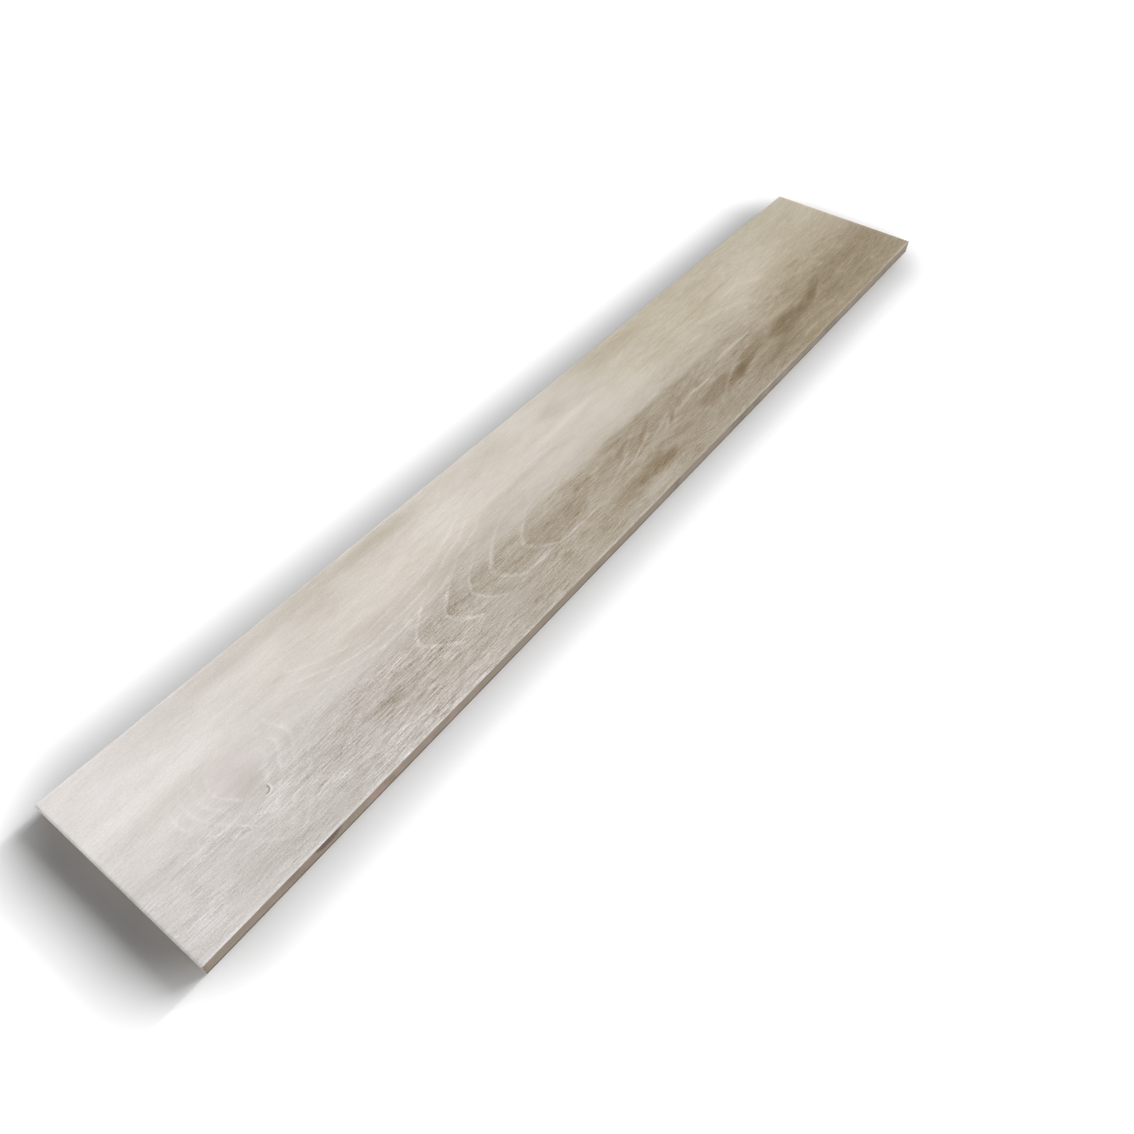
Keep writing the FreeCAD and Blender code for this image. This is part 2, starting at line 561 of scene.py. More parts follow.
class NodeBench:
    """Lays and joins the nodes of one shader tree."""

    def __init__(self, tree: Tree) -> None:
        """Starts on this tree, as it is."""
        self.tree = tree

    def feed(self, socket: Socket, value: Plug) -> None:
        """Joins a socket to what feeds it, or sets its value.

        Args:
            socket: the input.
            value: another node's output, or a constant.
        """
        if isinstance(value, Socket):
            self.tree.links.new(value, socket)
        else:
            socket.default_value = value

    def add(self, kind: str, plugs: dict[str | int, Plug] | None = None, **settings: object) -> Node:
        """Adds one node.

        Args:
            kind: Blender's name for the node, without its ShaderNode prefix.
            plugs: what feeds its inputs, by their names or numbers.
            settings: properties of the node itself.

        Returns:
            The node.
        """
        node = self.tree.nodes.new("ShaderNode" + kind)
        for name, value in settings.items():
            setattr(node, name, value)
        for key, value in (plugs or {}).items():
            self.feed(node.inputs[key], value)
        return node

    def work(self, operation: str, first: Plug, second: Plug = 0.0, third: Plug = 0.0) -> Socket:
        """One step of arithmetic on values."""
        return self.add("Math", {0: first, 1: second, 2: third}, operation=operation).outputs[0]

    def vector(self, operation: str, first: Plug, second: Plug = (0.0, 0.0, 0.0)) -> Socket:
        """One step of arithmetic on vectors, which gives a vector."""
        return self.add("VectorMath", {0: first, 1: second}, operation=operation).outputs[0]

    def length(self, vector: Plug) -> Socket:
        """Length of a vector."""
        return self.add("VectorMath", {0: vector}, operation="LENGTH").outputs["Value"]

    def parts(self, vector: Plug) -> bpy.types.NodeOutputs:
        """The three parts of a vector."""
        return self.add("SeparateXYZ", {0: vector}).outputs

    def place(self) -> Socket:
        """Place on the object itself."""
        return self.add("TexCoord").outputs["Object"]

    def layer(self, name: Layer) -> Socket:
        """Value of one layer of the figure."""
        return self.add("Attribute", attribute_name=name.value).outputs["Fac"]

    def noise(self, vector: Plug, scale: Plug, detail: float, rough: float) -> Socket:
        """Smooth noise from 0 to 1."""
        plugs = {"Vector": vector, "Scale": scale, "Detail": detail, "Roughness": rough}
        return self.add("TexNoise", plugs).outputs[0]

    def rise(self, value: Plug, low: Plug, high: Plug, start: Plug = 0.0, end: Plug = 1.0) -> Socket:
        """Value eased from start, at low, to end, at high."""
        plugs = {"Value": value, "From Min": low, "From Max": high, "To Min": start, "To Max": end}
        return self.add("MapRange", plugs, interpolation_type="SMOOTHSTEP").outputs[0]

    def blend(self, share: Plug, first: Plug, second: Plug, mode: str = "MIX") -> Socket:
        """Blends two colours.

        Args:
            share: how much of the second there is, from 0 to 1.
            first: the colour underneath.
            second: the colour on top.
            mode: Blender's name for the way they blend.

        Returns:
            The blended colour.
        """
        node = self.add("Mix", data_type="RGBA", blend_type=mode)
        sockets = [socket for socket in node.inputs if socket.enabled]
        for socket, value in zip(sockets, (share, first, second)):
            self.feed(socket, value)
        return next(socket for socket in node.outputs if socket.enabled)

    def ramp(self, value: Plug, stops: list[tuple[float, Colour]]) -> Socket:
        """Colour that goes through a row of stops.

        Args:
            value: place in the row, from 0 to 1.
            stops: places and colours, the first at 0 and the last at 1.

        Returns:
            The colour.
        """
        node = self.add("ValToRGB", {0: value})
        elements = node.color_ramp.elements
        for element, (place, colour) in zip(elements, (stops[0], stops[-1])):
            element.position = place
            element.color = linear(colour)
        for place, colour in stops[1:-1]:
            elements.new(place).color = linear(colour)
        return node.outputs[0]

    def coats(self, base: Colour, layers: list[tuple[Plug, Colour]]) -> Socket:
        """Colour with others laid over it, each by its share.

        Args:
            base: the colour underneath.
            layers: shares and colours, from the lowest up.

        Returns:
            The colour on top.
        """
        colour = linear(base)
        for share, layer in layers:
            colour = self.blend(share, colour, linear(layer))
        return colour

    def bump(self, shader: Node, height: Plug, distance: float, strength: float) -> None:
        """Gives a shader fine relief from a height."""
        plugs = {"Height": height, "Distance": distance, "Strength": strength}
        self.feed(shader.inputs["Normal"], self.add("Bump", plugs).outputs[0])

    def group(self, tree: Tree, plugs: dict[str | int, Plug]) -> Socket:
        """Output of a shared effect, placed here with its own values."""
        return self.add("Group", plugs, node_tree=tree).outputs[0]


class SharedEffects:
    """Effects that more than one finish uses, each built once as a node group."""

    FIBRE_NOISE = (2.0, 0.55)
    MOTTLE_NOISE = (3.0, 0.55)
    SPECKLE_NOISE = (1.0, 0.6)
    SPECKLE_LEVEL = 0.75
    SPECKLE_SPREAD = 0.5
    SPECKLE_EDGE = 0.1

    def __init__(self) -> None:
        """Builds the groups."""
        self.fibres = self._fibres()
        self.mottle = self._mottle()
        self.speckle = self._speckle()

    @staticmethod
    def _group(name: str, values: list[str]) -> tuple[Tree, NodeBench, dict[str, Socket]]:
        """Starts a group with a Place input, some value inputs and one Mask output.

        Args:
            name: the group's name.
            values: names of the value inputs.

        Returns:
            The group, a bench on its nodes, and its inputs by name.
        """
        tree = bpy.data.node_groups.new(name, "ShaderNodeTree")
        tree.interface.new_socket("Place", in_out="INPUT", socket_type="NodeSocketVector")
        for value in values:
            tree.interface.new_socket(value, in_out="INPUT", socket_type="NodeSocketFloat")
        tree.interface.new_socket("Mask", in_out="OUTPUT", socket_type="NodeSocketFloat")
        start = tree.nodes.new("NodeGroupInput")
        return tree, NodeBench(tree), {socket.name: socket for socket in start.outputs}

    @staticmethod
    def _close(tree: Tree, mask: Socket) -> Tree:
        """Ends a group with its mask.

        Args:
            tree: the group.
            mask: what it puts out.

        Returns:
            The group.
        """
        end = tree.nodes.new("NodeGroupOutput")
        tree.links.new(mask, end.inputs[0])
        return tree

    def _fibres(self) -> Tree:
        """Streaks drawn out along the grain.

        Returns:
            A group that takes their waves per metre along and across, and the noise they show between.
        """
        tree, bench, plug = self._group("long_fibres", ["Along", "Across", "Low", "High"])
        waves = {0: plug["Along"], 1: plug["Across"], 2: plug["Across"]}
        factors = bench.add("CombineXYZ", waves).outputs[0]
        streak = bench.noise(bench.vector("MULTIPLY", plug["Place"], factors), 1.0, *self.FIBRE_NOISE)
        return self._close(tree, bench.rise(streak, plug["Low"], plug["High"]))

    def _mottle(self) -> Tree:
        """Soft clouds.

        Returns:
            A group that takes their size.
        """
        tree, bench, plug = self._group("soft_mottle", ["Size"])
        scale = bench.work("DIVIDE", 1.0, plug["Size"])
        return self._close(tree, bench.noise(plug["Place"], scale, *self.MOTTLE_NOISE))

    def _speckle(self) -> Tree:
        """Fine grains.

        Returns:
            A group that takes their size and the share that they fill.
        """
        tree, bench, plug = self._group("fine_speckle", ["Size", "Share"])
        scale = bench.work("DIVIDE", 1.0, plug["Size"])
        grain = bench.noise(plug["Place"], scale, *self.SPECKLE_NOISE)
        spread = bench.work("MULTIPLY", plug["Share"], self.SPECKLE_SPREAD)
        low = bench.work("SUBTRACT", self.SPECKLE_LEVEL, spread)
        return self._close(tree, bench.rise(grain, low, bench.work("ADD", low, self.SPECKLE_EDGE)))


def fresh_material(name: str) -> tuple[Material, NodeBench, Node]:
    """New material with a Principled shader.

    Args:
        name: the finish it is.

    Returns:
        The material, a bench on its nodes, and its shader.
    """
    material = bpy.data.materials.new(name)
    material.use_nodes = True
    shader = material.node_tree.nodes["Principled BSDF"]
    return material, NodeBench(material.node_tree), shader


@dataclass(frozen=True)
class Fibres:
    """One kind of fibre in the print.

    It has waves per metre along and across, and shows where its noise goes from low to high. Gain is the
    tone it adds where the wood is all fibres, and rest what it adds everywhere, both about its centre.
    """

    along: float
    across: float
    low: float
    high: float
    gain: float
    rest: float = 0.0
    centre: float = 0.0
    shifted: bool = False
    relief: float = 0.0


@dataclass(frozen=True)
class Veins:
    """One set of light veins, by the layers that number them and show them."""

    ring: Layer
    reach: Layer
    width: float
    lift: float
    fill: float = 0.0


@dataclass(frozen=True)
class PrintedGlaze:
    """Satin matt glaze of the face, printed with pale greige wood grain."""

    name: str = "printed_satin_glaze"
    # Cream, pale greige, greige, taupe, dark taupe and umber, by their tones
    tones: tuple[tuple[float, Colour], ...] = (
        (0.0, (241, 238, 236)),
        (0.25, (217, 212, 207)),
        (0.5, (192, 186, 179)),
        (0.75, (164, 154, 141)),
        (1.0, (131, 115, 90)),
        (DARKEST_TONE, (94, 75, 43)),
    )
    # The far tint is partly the print's olive and partly painted shade: the warmer, dimmer far end that
    # the light's falloff gives
    near_tint: Colour = (255, 254, 255)
    far_tint_and_painted_falloff: Colour = (255, 245, 212)
    blush_tint: Colour = (255, 251, 252)
    tint_rise: Quad = (0.2, 0.75, 0.5, 1.0)
    # Streaks, ribbons, strands, threads, hairs, pores and pale flecks
    fibres: tuple[Fibres, ...] = (
        Fibres(26.0, 170.0, 0.3, 0.7, 0.10, 0.02, HALF),
        Fibres(34.0, 430.0, 0.32, 0.68, 0.13, 0.018, HALF, True),
        Fibres(85.0, 1250.0, 0.34, 0.68, 0.34, 0.02, HALF, True),
        Fibres(95.0, 1350.0, 0.5, 0.7, 0.18, relief=0.3),
        Fibres(90.0, 1700.0, 0.5, 0.75, 0.09, shifted=True, relief=0.3),
        Fibres(150.0, 1500.0, 0.64, 0.74, 0.20, 0.025, relief=0.7),
        Fibres(80.0, 1000.0, 0.64, 0.76, -0.20, -0.012, shifted=True),
    )
    shift: Triple = (3.7, 1.3, 0.4)
    patch_stretch: Triple = (0.4, 1.0, 1.0)
    patch_size: float = 0.012
    patch_rise: Quad = (0.3, 0.7, 0.45, 1.35)
    dot_noise: Triple = (850.0, 1.0, 0.7)
    dot_edge: Pair = (0.3, 0.7)
    dot_gain: float = 0.18
    dot_rest: float = 0.06
    cloud_stretch: Triple = (0.35, 1.0, 1.0)
    cloud_size: float = 0.022
    cloud_depth: float = 0.26
    veins: tuple[Veins, ...] = (
        Veins(Layer.EYE, Layer.EYE_REACH, 0.24, 0.12),
        Veins(Layer.ARCH, Layer.ARCH_REACH, 0.105, 0.21, 0.12),
        Veins(Layer.VALLEY, Layer.VALLEY_REACH, 0.2, 0.19),
    )
    vein_core: float = 0.03
    vein_ragged: float = 0.14
    ragged_noise: Triple = (300.0, 2.0, 0.6)
    vein_noise: Triple = (700.0, 1.0, 0.6)
    vein_rise: Quad = (0.3, 0.7, 0.3, 1.1)
    fill_start: Pair = (0.03, 0.12)
    fill_end: Pair = (0.95, 0.3)
    # Lightening of the print on the rolled rim: partly thinner print, partly a painted edge highlight
    rim_highlight_lift: float = 0.09
    curl_centre: Triple = (-0.3625, -0.0235, 0.0119)
    curl_radius: float = 2.8 * MM
    curl_width: float = 0.9 * MM
    curl_depth: float = 0.44
    curl_lip: float = 0.24
    lip_offset: float = 1.5
    roughness: float = 0.60
    groove_roughness: float = 0.12
    cloud_roughness: float = 0.08
    specular: float = 0.15
    relief: float = 0.25 * MM
    relief_strength: float = 0.6

    def material(self, effects: SharedEffects) -> Material:
        """Builds the finish.

        Args:
            effects: the shared node groups.

        Returns:
            The material.
        """
        material, bench, shader = fresh_material(self.name)
        place = bench.place()
        stretched = bench.vector("MULTIPLY", place, self.cloud_stretch)
        clouds = bench.group(effects.mottle, {"Place": stretched, "Size": self.cloud_size})
        tone = bench.work("SUBTRACT", bench.layer(Layer.TONE), self._veins(bench, place))
        # Lighter print on the rolled rim, partly thinner print and partly a painted edge highlight
        tone = bench.work("MULTIPLY_ADD", bench.layer(Layer.RIM), -self.rim_highlight_lift, tone)
        tone = bench.work("ADD", tone, self._curl(bench, place))
        swing = bench.work("MULTIPLY_ADD", clouds, self.cloud_depth, -self.cloud_depth * HALF)
        tone = bench.work("ADD", tone, swing)
        tone, height = self._fibres(bench, effects, place, tone)
        bench.feed(shader.inputs["Base Color"], self._colour(bench, tone))
        groove = bench.layer(Layer.GROOVE)
        rough = bench.work("MULTIPLY_ADD", groove, self.groove_roughness, self.roughness)
        rough = bench.work("MULTIPLY_ADD", clouds, self.cloud_roughness, rough)
        bench.feed(shader.inputs["Roughness"], rough)
        shader.inputs["Specular IOR Level"].default_value = self.specular
        bench.bump(shader, height, self.relief, self.relief_strength)
        return material

    def _fibres(
        self, bench: NodeBench, effects: SharedEffects, place: Plug, tone: Plug
    ) -> tuple[Socket, Socket]:
        """Draws the fibres and the fine dots into the print.

        Args:
            bench: where the nodes go.
            effects: the shared node groups.
            place: place on the plank.
            tone: the tone so far.

        Returns:
            The tone with the fibres, and the height of their relief.
        """
        flow = bench.work("MULTIPLY", bench.layer(Layer.FLOW), MM)
        grain = bench.add("CombineXYZ", {0: bench.parts(place)[0], 1: flow}).outputs[0]
        shifted = bench.vector("ADD", grain, self.shift)
        stretched = bench.vector("MULTIPLY", place, self.patch_stretch)
        patches = bench.group(effects.mottle, {"Place": stretched, "Size": self.patch_size})
        share = bench.work("MULTIPLY", bench.layer(Layer.FIBRE), bench.rise(patches, *self.patch_rise))
        height = 0.0
        for kind in self.fibres:
            where = shifted if kind.shifted else grain
            plugs = {"Along": kind.along, "Across": kind.across, "Low": kind.low, "High": kind.high}
            mask = bench.group(effects.fibres, {"Place": where, **plugs})
            amount = bench.work("MULTIPLY_ADD", share, kind.gain, kind.rest)
            tone = bench.work("MULTIPLY_ADD", bench.work("SUBTRACT", mask, kind.centre), amount, tone)
            if kind.relief:
                height = bench.work("MULTIPLY_ADD", mask, -kind.relief, height)
        dots = bench.rise(bench.noise(place, *self.dot_noise), *self.dot_edge)
        amount = bench.work("MULTIPLY_ADD", share, self.dot_gain, self.dot_rest)
        tone = bench.work("MULTIPLY_ADD", bench.work("SUBTRACT", dots, HALF), amount, tone)
        return tone, height

    def _colour(self, bench: NodeBench, tone: Plug) -> Socket:
        """Colour of the print for its tone, with the tint of the place.

        Args:
            bench: where the nodes go.
            tone: how dark the print is.

        Returns:
            The colour.
        """
        stops = [(stop / DARKEST_TONE, colour) for stop, colour in self.tones]
        colour = bench.ramp(bench.work("DIVIDE", tone, DARKEST_TONE), stops)
        # The far tint, laid on by the hue layer, partly paints the light's warmer falloff towards the far
        # end
        warmth = bench.work("MULTIPLY", bench.layer(Layer.HUE), bench.rise(tone, *self.tint_rise))
        tint = bench.blend(warmth, linear(self.near_tint), linear(self.far_tint_and_painted_falloff))
        tint = bench.blend(bench.layer(Layer.BLUSH), tint, linear(self.blush_tint))
        return bench.blend(1.0, colour, tint, "MULTIPLY")

    def _curl(self, bench: NodeBench, place: Plug) -> Socket:
        """Small dark hook at the foot of the knot, with a pale lip outside it.

        Args:
            bench: where the nodes go.
            place: place on the plank.

        Returns:
            What it adds to the tone.
        """
        from_centre = bench.vector("SUBTRACT", place, self.curl_centre)
        parts = bench.parts(from_centre)
        side = bench.rise(bench.work("SUBTRACT", parts[0], parts[1]), 0.0, self.curl_radius)
        off = bench.work("SUBTRACT", bench.length(from_centre), self.curl_radius)
        hook = bench.rise(bench.work("ABSOLUTE", off), self.curl_width, 0.0)
        outside = bench.work("SUBTRACT", off, self.curl_width * self.lip_offset)
        lip = bench.rise(bench.work("ABSOLUTE", outside), self.curl_width, 0.0)
        dark = bench.work("MULTIPLY", hook, self.curl_depth)
        mark = bench.work("MULTIPLY_ADD", lip, -self.curl_lip, dark)
        return bench.work("MULTIPLY", mark, side)

    def _veins(self, bench: NodeBench, place: Plug) -> Socket:
        """Light veins of the knot, the arches and the valley, with the dark inside each arch.

        Args:
            bench: where the nodes go.
            place: place on the plank.

        Returns:
            How much lighter the print is there, in tone.
        """
        jitter = bench.noise(place, *self.ragged_noise)
        ragged = bench.work("MULTIPLY_ADD", jitter, self.vein_ragged, -self.vein_ragged * HALF)
        total = 0.0
        for veins in self.veins:
            number = bench.work("ADD", bench.layer(veins.ring), ragged)
            off = bench.work("PINGPONG", number, HALF)
            shade = bench.work("MULTIPLY", bench.rise(off, veins.width, self.vein_core), veins.lift)
            if veins.fill:
                past = bench.work("FRACT", number)
                begun = bench.rise(past, *self.fill_start)
                inside = bench.work("MULTIPLY", begun, bench.rise(past, *self.fill_end))
                shade = bench.work("MULTIPLY_ADD", inside, -veins.fill, shade)
            total = bench.work("MULTIPLY_ADD", shade, bench.layer(veins.reach), total)
        grainy = bench.rise(bench.noise(place, *self.vein_noise), *self.vein_rise)
        return bench.work("MULTIPLY", total, grainy)


@dataclass(frozen=True)
class BareBody:
    """Unglazed sides of the fired body, with the glaze's ragged lower edge and a painted contact shadow
    along the foot.
    """

    name: str = "bare_porcelain_body"
    body: Colour = (146, 134, 118)
    shade: Colour = (112, 98, 74)
    shade_size: float = 0.04
    shade_rise: Quad = (0.5, 0.72, 0.0, 0.75)
    blush: Colour = (168, 143, 131)
    blush_size: float = 0.016
    blush_stretch: Triple = (1.0, 1.0, 0.5)
    blush_rise: Quad = (0.5, 0.7, 0.0, 0.7)
    grain: Colour = (168, 158, 145)
    grain_size: float = 0.6 * MM
    grain_fill: float = 0.42
    grain_share: float = 0.4
    grain_relief: float = 0.06 * MM
    grain_strength: float = 0.7
    smudge: Colour = (78, 62, 47)
    smudge_place: Triple = (-0.361, -0.075, 0.0105)
    smudge_size: Triple = (0.013, 0.01, 0.0075)
    smudge_ragged: float = 0.6
    smudge_rise: Quad = (1.3, 0.85, 0.0, 0.8)
    # Darker foot of the sides: painted contact shadow where they meet the floor
    foot: Colour = (62, 54, 46)
    foot_shadow_height: float = 2.5 * MM
    foot_shadow_share: float = 0.8
    glaze: Colour = (200, 194, 186)
    glaze_foot: float = 11.3 * MM
    glaze_wave: float = 1.0 * MM
    glaze_noise: Triple = (120.0, 3.0, 0.6)
    glaze_edge: Pair = (-0.12 * MM, 0.18 * MM)
    glaze_roughness: float = 0.5
    roughness: float = 0.82

    def material(self, effects: SharedEffects) -> Material:
        """Builds the finish.

        Args:
            effects: the shared node groups.

        Returns:
            The material.
        """
        material, bench, shader = fresh_material(self.name)
        place = bench.place()
        height = bench.parts(place)[2]
        stains = bench.group(effects.mottle, {"Place": place, "Size": self.shade_size})
        stretched = bench.vector("MULTIPLY", place, self.blush_stretch)
        patches = bench.group(effects.mottle, {"Place": stretched, "Size": self.blush_size})
        speckle = {"Place": place, "Size": self.grain_size, "Share": self.grain_fill}
        grains = bench.group(effects.speckle, speckle)
        from_smudge = bench.vector("SUBTRACT", place, self.smudge_place)
        reach = bench.length(bench.vector("DIVIDE", from_smudge, self.smudge_size))
        reach = bench.work("MULTIPLY_ADD", stains, self.smudge_ragged, reach)
        # Painted contact shadow, darkest at the foot of the sides
        foot_painted_shadow = bench.rise(height, self.foot_shadow_height, self.foot_shadow_height * HALF, 0.0, self.foot_shadow_share)
        wave = bench.noise(place, *self.glaze_noise)
        above = bench.work("SUBTRACT", height, self.glaze_foot + self.glaze_wave * HALF)
        glazed = bench.rise(bench.work("MULTIPLY_ADD", wave, self.glaze_wave, above), *self.glaze_edge)
        colour = bench.coats(self.body, [
            (bench.rise(stains, *self.shade_rise), self.shade),
            (bench.rise(patches, *self.blush_rise), self.blush),
            (bench.rise(reach, *self.smudge_rise), self.smudge),
            (bench.work("MULTIPLY", grains, self.grain_share), self.grain),
            (foot_painted_shadow, self.foot),
            (glazed, self.glaze),
        ])
        bench.feed(shader.inputs["Base Color"], colour)
        rough = bench.rise(glazed, 0.0, 1.0, self.roughness, self.glaze_roughness)
        bench.feed(shader.inputs["Roughness"], rough)
        bench.bump(shader, grains, self.grain_relief, self.grain_strength)
        return material


@dataclass(frozen=True)
class KeyedBack:
    """Unglazed back: fired biscuit, with the whitish wash that keeps it off the kiln's rollers."""

    name: str = "keyed_biscuit_back"
    biscuit: Colour = (186, 172, 156)
    shade: Colour = (160, 145, 128)
    shade_size: float = 0.09
    shade_rise: Pair = (0.35, 0.7)
    wash: Colour = (222, 216, 207)
    wash_share: float = 0.15
    rub_share: float = 0.5
    rub_along: float = 14.0
    rub_across: float = 60.0
    rub_rise: Pair = (0.42, 0.66)
    grain_size: float = 1.4 * MM
    grain_fill: float = 0.4
    grain_share: float = 0.25
    grain_relief: float = 0.15 * MM
    grain_strength: float = 0.6
    grain_roughness: float = -0.08
    roughness: float = 0.9
    rib_height: float = 0.25 * MM

    def material(self, effects: SharedEffects) -> Material:
        """Builds the finish.

        Args:
            effects: the shared node groups.

        Returns:
            The material.
        """
        material, bench, shader = fresh_material(self.name)
        place = bench.place()
        stains = bench.group(effects.mottle, {"Place": place, "Size": self.shade_size})
        speckle = {"Place": place, "Size": self.grain_size, "Share": self.grain_fill}
        grains = bench.group(effects.speckle, speckle)
        streaks = {"Along": self.rub_along, "Across": self.rub_across}
        span = {"Low": self.rub_rise[0], "High": self.rub_rise[1]}
        rubs = bench.group(effects.fibres, {"Place": place, **streaks, **span})
        rib = bench.rise(bench.parts(place)[2], self.rib_height, 0.0)
        rubbed = bench.work("MULTIPLY_ADD", rubs, self.rub_share, self.wash_share)
        washed = bench.work("MULTIPLY", rib, rubbed)
        colour = bench.coats(self.biscuit, [
            (bench.rise(stains, *self.shade_rise), self.shade),
            (washed, self.wash),
            (bench.work("MULTIPLY", grains, self.grain_share), self.wash),
        ])
        bench.feed(shader.inputs["Base Color"], colour)
        rough = bench.work("MULTIPLY_ADD", grains, self.grain_roughness, self.roughness)
        bench.feed(shader.inputs["Roughness"], rough)
        bench.bump(shader, grains, self.grain_relief, self.grain_strength)
        return material


@dataclass
class PlankTile:
    """The plank: a pressed slab with pillowed edges, a grained face and a keyed back."""

    name: str = "printed_plank"
    pillow_run: float = 2.0
    pillow_drop: float = 0.5
    pillow_steps: int = 5
    side_lean: float = 0.3
    back_chamfer: float = 0.6
    corner_radius: float = 1.5
    corner_cuts: int = 4
    corner_reach: float = 7.0
    cells_along: int = 284
    cells_across: int = 268
    pocket_target: float = 28.0
    pocket_depth: float = 0.8
    pocket_corner: float = 2.0
    pocket_corner_steps: int = 3
    pocket_lean: float = 0.5
    rib_width: float = 6.0
    back_border: float = 9.0
    plate_margin: float = 4.0
    # Width of the rolled rim that gets the lighter print and painted edge highlight
    rim_width: float = 3.0
    rim_core: float = 0.25
    groove_depth: float = 0.09
    vein_depth: float = 0.05
    swell_depth: float = 0.10
    swell: Wave = Wave(90.0, 16.0, 31.0, HALF)
    sharp_angle: float = math.radians(32.0)
    same_level: float = 0.001
    slab_weld: float = 0.0001
    facet_weld: float = 0.00001
    face_tilt: float = 0.01
    # Places on the map: v of the face, the back, each long side and the ends, and u of each end
    face_band: Pair = (0.0, 0.66)
    back_band: Pair = (0.67, 0.87)
    right_band: Pair = (0.88, 0.91)
    left_band: Pair = (0.915, 0.945)
    end_band: Pair = (0.95, 0.995)
    near_run: Pair = (0.0, 0.25)
    far_run: Pair = (0.3, 0.55)
    figure: GrainFigure = GrainFigure()

    def __post_init__(self) -> None:
        """Takes the slab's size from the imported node."""
        low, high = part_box(CAD_NODE)
        self.length, self.width, self.thickness = ((high - low) / MM)[:]
        self.shoulder = self.thickness - self.pillow_drop

    def build(self, effects: SharedEffects) -> bpy.types.Object:
        """Models the plank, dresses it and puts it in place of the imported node.

        Args:
            effects: the shared node groups.

        Returns:
            The finished piece.
        """
        bm = self._slab()
        self._divide(bm)
        self._round_corners(bm)
        self._key_back(bm)
        bmesh.ops.recalc_face_normals(bm, faces=bm.faces)
        self._sort_faces(bm)
        self._lay_map(bm)
        bmesh.ops.scale(bm, vec=(MM, MM, MM), verts=bm.verts)
        mesh = bpy.data.meshes.new(self.name)
        bm.to_mesh(mesh)
        bm.free()
        self._press_grain(mesh)
        for finish in (PrintedGlaze(), BareBody(), KeyedBack()):
            mesh.materials.append(finish.material(effects))
        piece = bpy.data.objects.new(self.name, mesh)
        bpy.context.scene.collection.objects.link(piece)
        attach(piece, BODY)
        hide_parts(CAD_NODE)
        return piece

    def _slab(self) -> BMesh:
        """Box with rolled upper edges and leaning, chamfered sides, open underneath.

        Returns:
            The slab, in millimetres.
        """
        bm = bmesh.new()
        bmesh.ops.create_cube(bm, size=1.0)
        stretch = self.pillow_run / self.pillow_drop
        bmesh.ops.translate(bm, vec=(0.0, 0.0, HALF), verts=bm.verts)
        bmesh.ops.scale(bm, vec=(self.length, self.width, self.thickness * stretch), verts=bm.verts)
        middle = self.thickness * stretch * HALF
        rim = [edge for edge in bm.edges if all(vert.co.z > middle for vert in edge.verts)]
        bmesh.ops.bevel(
            bm, geom=rim, offset=self.pillow_run, offset_type="OFFSET", affect="EDGES",
            segments=self.pillow_steps, profile=HALF, material=-1, clamp_overlap=True,
        )
        bmesh.ops.scale(bm, vec=(1.0, 1.0, 1.0 / stretch), verts=bm.verts)
        foot = bmesh.ops.bisect_plane(
            bm, geom=bm.verts[:] + bm.edges[:] + bm.faces[:], dist=self.slab_weld,
            plane_co=(0.0, 0.0, self.back_chamfer), plane_no=(0.0, 0.0, 1.0),
        )["geom_cut"]
        self._draw_in(bm, [item for item in foot if isinstance(item, Vert)], self.side_lean)
        sole = [vert for vert in bm.verts if vert.co.z < self.back_chamfer * HALF]
        self._draw_in(bm, sole, self.side_lean + self.back_chamfer)
        under = [face for face in bm.faces if face.calc_center_median().z < self.same_level]
        bmesh.ops.delete(bm, geom=under, context="FACES_ONLY")
        return bm

    def _draw_in(self, bm: BMesh, verts: list[Vert], inset: float) -> None:
        """Moves a level of the slab in from the widest line by this much, all round."""
        narrowed = (1.0 - 2.0 * inset / self.length, 1.0 - 2.0 * inset / self.width, 1.0)
        bmesh.ops.scale(bm, vec=narrowed, verts=verts)

    def _divide(self, bm: BMesh) -> None:
        """Divides the slab along and across, finely enough to press the grain into it.

        Args:
            bm: the slab.
        """
        for axis, size, cells in ((0, self.length, self.cells_along), (1, self.width, self.cells_across)):
            runs = []
            for edge in bm.edges:
                reach = edge.verts[1].co - edge.verts[0].co
                if abs(reach[axis]) > size * HALF:
                    runs.append(edge)
            bmesh.ops.subdivide_edges(bm, edges=runs, cuts=cells - 1, use_grid_fill=True)

    def _round_corners(self, bm: BMesh) -> None:
        """Cuts the four upright corners round, facet by facet.

        Args:
            bm: the slab.
        """
        end = self.length * HALF - self.corner_radius
        side = self.width * HALF - self.corner_radius
        for side_x in (-1.0, 1.0):
            for side_y in (-1.0, 1.0):
                centre = Vector((side_x * end, side_y * side, 0.0))
                for cut in range(self.corner_cuts):
                    turn = math.pi * HALF * (cut + HALF) / self.corner_cuts
                    outward = Vector((side_x * math.cos(turn), side_y * math.sin(turn), 0.0))
                    self._cut_facet(bm, centre, outward)

    def _cut_facet(self, bm: BMesh, centre: Vector, outward: Vector) -> None:
        """Cuts one upright facet that touches the corner's round.

        Args:
            bm: the slab.
            centre: middle of the round.
            outward: direction that the facet faces.
        """
        reach = self.corner_reach * self.corner_radius
        near = [face for face in bm.faces if (face.calc_center_median() - centre).xy.length < reach]
        edges = once(edge for face in near for edge in face.edges)
        verts = once(vert for face in near for vert in face.verts)
        cut = bmesh.ops.bisect_plane(
            bm, geom=verts + edges + near, dist=self.facet_weld,
            plane_co=centre + outward * self.corner_radius, plane_no=outward, clear_outer=True,
        )["geom_cut"]
        rim = [item for item in cut if isinstance(item, Edge)]
        if rim:
            self._close_facet(bm, rim)

